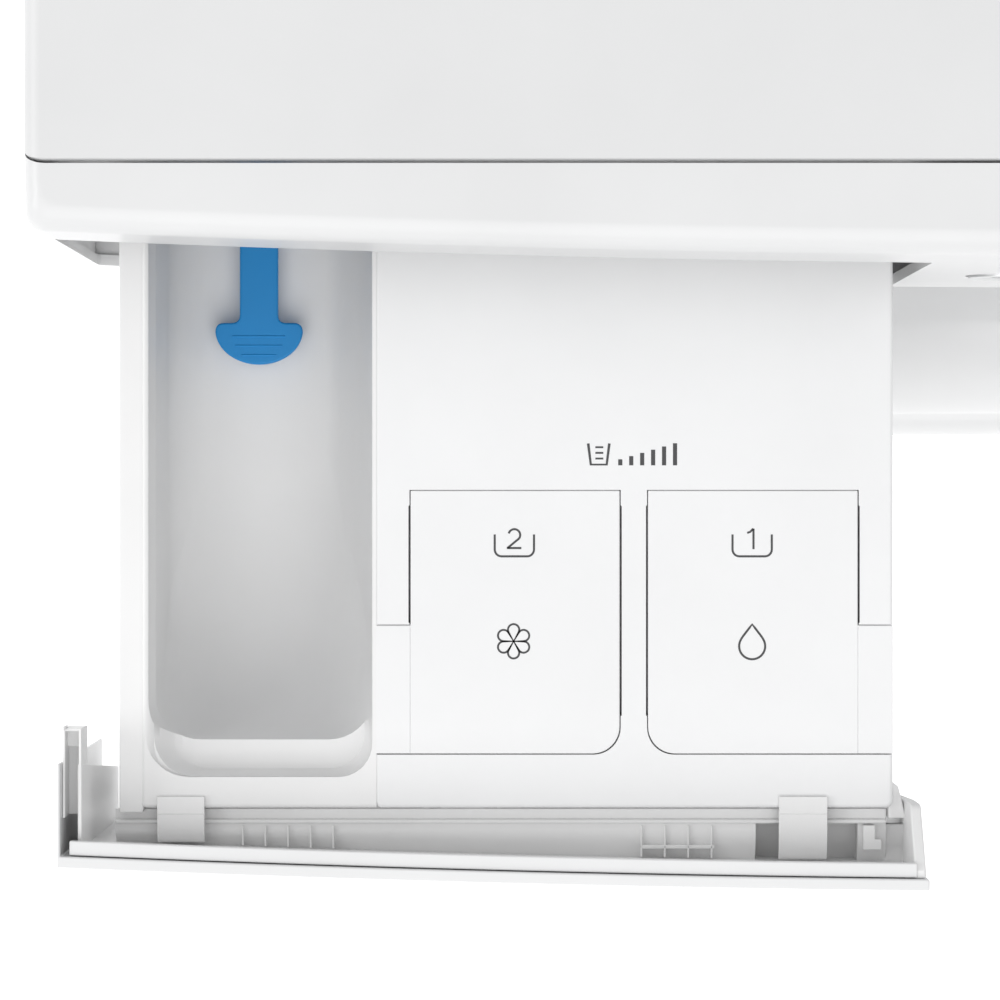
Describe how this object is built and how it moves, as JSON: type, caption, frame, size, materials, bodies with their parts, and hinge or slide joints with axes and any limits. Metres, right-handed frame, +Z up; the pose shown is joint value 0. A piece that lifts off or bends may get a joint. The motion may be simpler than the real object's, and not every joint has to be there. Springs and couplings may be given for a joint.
{
  "type": "front load washing machine",
  "caption": "Front load washing machine with a bowed control panel, round door, suspended drum and a pulled-out dosing drawer with lidded tanks.",
  "frame": {"origin": "on the floor, in the middle of the width and of the depth with the drawer pulled out", "axes": "+Z up, -Y out of the front, +X to the right as seen from the front"},
  "size_m": [0.598, 0.7476, 0.848],
  "materials": {
    "white_steel": "satin white enamel",
    "worktop_board": "white laminate on board",
    "white_plastic": "satin",
    "tray_plastic": "satin",
    "blue_plastic": "satin",
    "dark_plastic": "fine grain",
    "grey_plastic": "fine grain",
    "silver_plastic": "silver lacquer",
    "stainless": "brushed",
    "steel": "zinc plated",
    "aluminium": "cast",
    "seal_rubber": "matt grey",
    "black_rubber": "matt black",
    "concrete": "cast, rough",
    "door_glass": "clear, pressed",
    "smoked_window": "dark, polished",
    "circuit_board": "solder mask"
  },
  "bodies": {
    "cabinet": {"base_frame": "grey_plastic", "left_side_panel": "white_steel", "right_side_panel": "white_steel", "rear_panel": "white_steel", "rear_service_cover": "white_steel", "front_panel": "white_steel", "worktop": "worktop_board", "control_fascia": "white_plastic", "display_window": "smoked_window", "control_board": "circuit_board", "dispenser_housing": "grey_plastic", "fill_hose": "seal_rubber", "sump_hose": "seal_rubber", "inlet_valve": "white_plastic", "outlet_plate": "grey_plastic", "drain_pump": "grey_plastic", "spring_left": "steel", "spring_right": "steel", "damper_tube_left": "dark_plastic", "damper_tube_right": "dark_plastic", "door_gasket": "seal_rubber", "door_hinge_bracket": "white_steel", "door_lock": "dark_plastic"},
    "tub": {"tub_front": "grey_plastic", "tub_rear": "grey_plastic", "heater": "stainless", "counterweight": "concrete", "damper_rod_left": "steel", "damper_rod_right": "steel", "motor_housing": "dark_plastic", "drive_belt": "black_rubber", "shaft_bearing": "steel"},
    "drum": {"drum_shell": "stainless", "paddle_1": "grey_plastic", "paddle_2": "grey_plastic", "paddle_3": "grey_plastic", "drum_spider": "aluminium", "drum_pulley": "aluminium"},
    "rotor": {"motor_rotor": "steel"},
    "door": {"door_outer_ring": "white_plastic", "door_inner_frame": "grey_plastic", "door_glass": "door_glass", "door_hinge_arm": "steel"},
    "latch": {"door_latch": "steel"},
    "drawer": {"drawer_front": "white_plastic", "drawer_carrier": "tray_plastic", "drawer_tray": "tray_plastic", "drawer_cover": "white_plastic"},
    "softener_lid": {"lid_softener": "white_plastic"},
    "detergent_lid": {"lid_detergent": "white_plastic"},
    "release": {"release_lever": "blue_plastic"},
    "knob": {"program_knob": "silver_plastic"},
    "power": {"power_button": "silver_plastic"},
    "start": {"start_button": "silver_plastic"},
    "flap": {"pump_flap": "white_plastic"},
    "filter": {"filter_cap": "dark_plastic"},
    "foot_1": {"foot_front_left": "black_rubber"},
    "foot_2": {"foot_front_right": "black_rubber"},
    "foot_3": {"foot_rear_left": "black_rubber"},
    "foot_4": {"foot_rear_right": "black_rubber"}
  },
  "joints": [
    {"name": "tub_travel", "type": "slide", "parent": "cabinet", "child": "tub", "axis": [0, 0, 1], "range_m": [-0.008, 0.008], "stiffness_N_per_m": 12000, "springref_m": 0.02091, "deforming": ["spring_left", "spring_right", "door_gasket", "fill_hose", "sump_hose"]},
    {"name": "drum_spin", "type": "hinge", "parent": "tub", "child": "drum", "pos_m": [0, 0, 0.43], "axis": [0, 1, 0], "continuous": true},
    {"name": "rotor_spin", "type": "hinge", "parent": "tub", "child": "rotor", "pos_m": [-0.06, 0.27, 0.112], "axis": [0, 1, 0], "continuous": true},
    {"name": "door_swing", "type": "hinge", "parent": "cabinet", "child": "door", "pos_m": [-0.24, -0.22418, 0.43], "axis": [0, 0, -1], "range_deg": [0, 165]},
    {"name": "latch_tilt", "type": "hinge", "parent": "door", "child": "latch", "pos_m": [0.202, -0.20817, 0.4275], "axis": [-1, 0, 0], "range_deg": [0, 8], "stiffness_Nm_per_rad": 0.4},
    {"name": "drawer_slide", "type": "slide", "parent": "cabinet", "child": "drawer", "axis": [0, -1, 0], "range_m": [-0.162, 0]},
    {"name": "softener_lid_hinge", "type": "hinge", "parent": "drawer", "child": "softener_lid", "pos_m": [-0.1763, -0.27043, 0.788], "axis": [-1, 0, 0], "range_deg": [0, 95]},
    {"name": "detergent_lid_hinge", "type": "hinge", "parent": "drawer", "child": "detergent_lid", "pos_m": [-0.113, -0.27043, 0.788], "axis": [-1, 0, 0], "range_deg": [0, 95]},
    {"name": "release_press", "type": "hinge", "parent": "drawer", "child": "release", "pos_m": [-0.2476, -0.14477, 0.73475], "axis": [1, 0, 0], "range_deg": [0, 3], "stiffness_Nm_per_rad": 0.8},
    {"name": "knob_turn", "type": "hinge", "parent": "cabinet", "child": "knob", "pos_m": [0, -0.22418, 0.7605], "axis": [0, -1, 0], "continuous": true},
    {"name": "power_press", "type": "slide", "parent": "cabinet", "child": "power", "axis": [0, 1, 0], "range_m": [0, 0.0015], "stiffness_N_per_m": 800},
    {"name": "start_press", "type": "slide", "parent": "cabinet", "child": "start", "axis": [0, 1, 0], "range_m": [0, 0.0015], "stiffness_N_per_m": 800},
    {"name": "flap_hinge", "type": "hinge", "parent": "cabinet", "child": "flap", "pos_m": [0.205, -0.19617, 0.0666], "axis": [1, 0, 0], "range_deg": [0, 95]},
    {"name": "filter_turn", "type": "hinge", "parent": "cabinet", "child": "filter", "pos_m": [0.205, -0.18618, 0.099], "axis": [0, -1, 0], "range_deg": [0, 90]},
    {"name": "foot_turn_front_left", "type": "hinge", "parent": "cabinet", "child": "foot_1", "pos_m": [-0.254, -0.13717, 0.03], "axis": [0, 0, 1], "continuous": true},
    {"name": "foot_turn_front_right", "type": "hinge", "parent": "cabinet", "child": "foot_2", "pos_m": [0.254, -0.13717, 0.03], "axis": [0, 0, 1], "continuous": true},
    {"name": "foot_turn_rear_left", "type": "hinge", "parent": "cabinet", "child": "foot_3", "pos_m": [-0.254, 0.31483, 0.03], "axis": [0, 0, 1], "continuous": true},
    {"name": "foot_turn_rear_right", "type": "hinge", "parent": "cabinet", "child": "foot_4", "pos_m": [0.254, 0.31483, 0.03], "axis": [0, 0, 1], "continuous": true}
  ],
  "couplings": [
    {"joint": "rotor_spin", "follows": "drum_spin", "ratio": 12.667}
  ]
}
